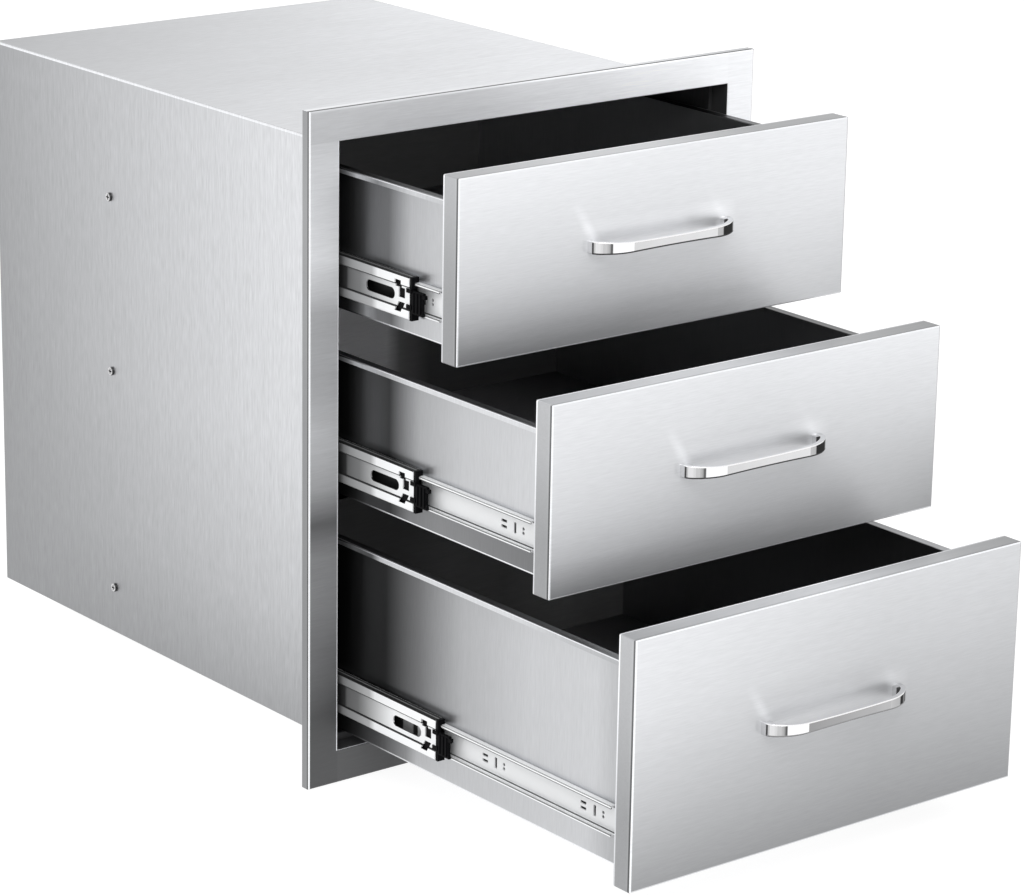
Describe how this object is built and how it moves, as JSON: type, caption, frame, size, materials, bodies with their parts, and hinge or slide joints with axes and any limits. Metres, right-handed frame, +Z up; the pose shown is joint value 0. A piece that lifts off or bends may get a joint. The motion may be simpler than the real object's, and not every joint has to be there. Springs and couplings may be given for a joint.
{
  "type": "outdoor kitchen drawer unit",
  "caption": "Built-in outdoor kitchen drawer unit: thin stainless case behind a flush trim frame, stacked drawers on ball-bearing slides, each with a polished bow handle.",
  "frame": {"origin": "on the back plane of the trim flange, at mid-width, level with the underside of the case", "axes": "+X to the right seen from the front, +Y into the cut-out, +Z up; the drawers pull out along -Y"},
  "size_m": [0.478, 0.9445, 0.584],
  "materials": {
    "trim_steel": "brushed along the strips",
    "case_steel": "brushed",
    "front_steel": "brushed across",
    "box_steel": "brushed",
    "slide_zinc": "bright zinc plate",
    "handle_chrome": "mirror polished",
    "screw_steel": "bright",
    "stop_plastic": "moulded black"
  },
  "bodies": {
    "case": {"trim_frame": "trim_steel", "case_side_left": "case_steel", "case_side_right": "case_steel", "case_top": "case_steel", "case_floor": "case_steel", "case_back": "case_steel", "rail_screws_left": "screw_steel", "rail_screws_right": "screw_steel", "top_case_rail_left": "slide_zinc", "top_case_rail_right": "slide_zinc", "centre_case_rail_left": "slide_zinc", "centre_case_rail_right": "slide_zinc", "bottom_case_rail_left": "slide_zinc", "bottom_case_rail_right": "slide_zinc"},
    "top_drawer": {"top_drawer_front": "front_steel", "top_drawer_liner": "box_steel", "top_drawer_side_left": "box_steel", "top_drawer_side_right": "box_steel", "top_drawer_floor": "box_steel", "top_drawer_back": "box_steel", "top_drawer_handle": "handle_chrome", "top_handle_screws": "screw_steel", "top_drawer_rail_left": "slide_zinc", "top_drawer_rail_right": "slide_zinc"},
    "top_link_left": {"top_link_rail_left": "slide_zinc", "top_link_stop_left": "stop_plastic"},
    "top_link_right": {"top_link_rail_right": "slide_zinc", "top_link_stop_right": "stop_plastic"},
    "centre_drawer": {"centre_drawer_front": "front_steel", "centre_drawer_liner": "box_steel", "centre_drawer_side_left": "box_steel", "centre_drawer_side_right": "box_steel", "centre_drawer_floor": "box_steel", "centre_drawer_back": "box_steel", "centre_drawer_handle": "handle_chrome", "centre_handle_screws": "screw_steel", "centre_drawer_rail_left": "slide_zinc", "centre_drawer_rail_right": "slide_zinc"},
    "centre_link_left": {"centre_link_rail_left": "slide_zinc", "centre_link_stop_left": "stop_plastic"},
    "centre_link_right": {"centre_link_rail_right": "slide_zinc", "centre_link_stop_right": "stop_plastic"},
    "bottom_drawer": {"bottom_drawer_front": "front_steel", "bottom_drawer_liner": "box_steel", "bottom_drawer_side_left": "box_steel", "bottom_drawer_side_right": "box_steel", "bottom_drawer_floor": "box_steel", "bottom_drawer_back": "box_steel", "bottom_drawer_handle": "handle_chrome", "bottom_handle_screws": "screw_steel", "bottom_drawer_rail_left": "slide_zinc", "bottom_drawer_rail_right": "slide_zinc"},
    "bottom_link_left": {"bottom_link_rail_left": "slide_zinc", "bottom_link_stop_left": "stop_plastic"},
    "bottom_link_right": {"bottom_link_rail_right": "slide_zinc", "bottom_link_stop_right": "stop_plastic"}
  },
  "joints": [
    {"name": "top_drawer_slide", "type": "slide", "parent": "case", "child": "top_drawer", "axis": [0, -1, 0], "range_m": [-0.156, 0.264]},
    {"name": "top_link_left_slide", "type": "slide", "parent": "case", "child": "top_link_left", "axis": [0, -1, 0], "range_m": [-0.1282, 0.2168]},
    {"name": "top_link_right_slide", "type": "slide", "parent": "case", "child": "top_link_right", "axis": [0, -1, 0], "range_m": [-0.1282, 0.2168]},
    {"name": "centre_drawer_slide", "type": "slide", "parent": "case", "child": "centre_drawer", "axis": [0, -1, 0], "range_m": [-0.277, 0.143]},
    {"name": "centre_link_left_slide", "type": "slide", "parent": "case", "child": "centre_link_left", "axis": [0, -1, 0], "range_m": [-0.1359, 0.0703]},
    {"name": "centre_link_right_slide", "type": "slide", "parent": "case", "child": "centre_link_right", "axis": [0, -1, 0], "range_m": [-0.1359, 0.0703]},
    {"name": "bottom_drawer_slide", "type": "slide", "parent": "case", "child": "bottom_drawer", "axis": [0, -1, 0], "range_m": [-0.383, 0.037]},
    {"name": "bottom_link_left_slide", "type": "slide", "parent": "case", "child": "bottom_link_left", "axis": [0, -1, 0], "range_m": [-0.1692, 0.0165]},
    {"name": "bottom_link_right_slide", "type": "slide", "parent": "case", "child": "bottom_link_right", "axis": [0, -1, 0], "range_m": [-0.1692, 0.0165]}
  ],
  "couplings": [
    {"joint": "top_link_left_slide", "follows": "top_drawer_slide", "ratio": 0.8205},
    {"joint": "top_link_right_slide", "follows": "top_drawer_slide", "ratio": 0.8205},
    {"joint": "centre_link_left_slide", "follows": "centre_drawer_slide", "ratio": 0.4899},
    {"joint": "centre_link_right_slide", "follows": "centre_drawer_slide", "ratio": 0.4899},
    {"joint": "bottom_link_left_slide", "follows": "bottom_drawer_slide", "ratio": 0.4413},
    {"joint": "bottom_link_right_slide", "follows": "bottom_drawer_slide", "ratio": 0.4413}
  ]
}
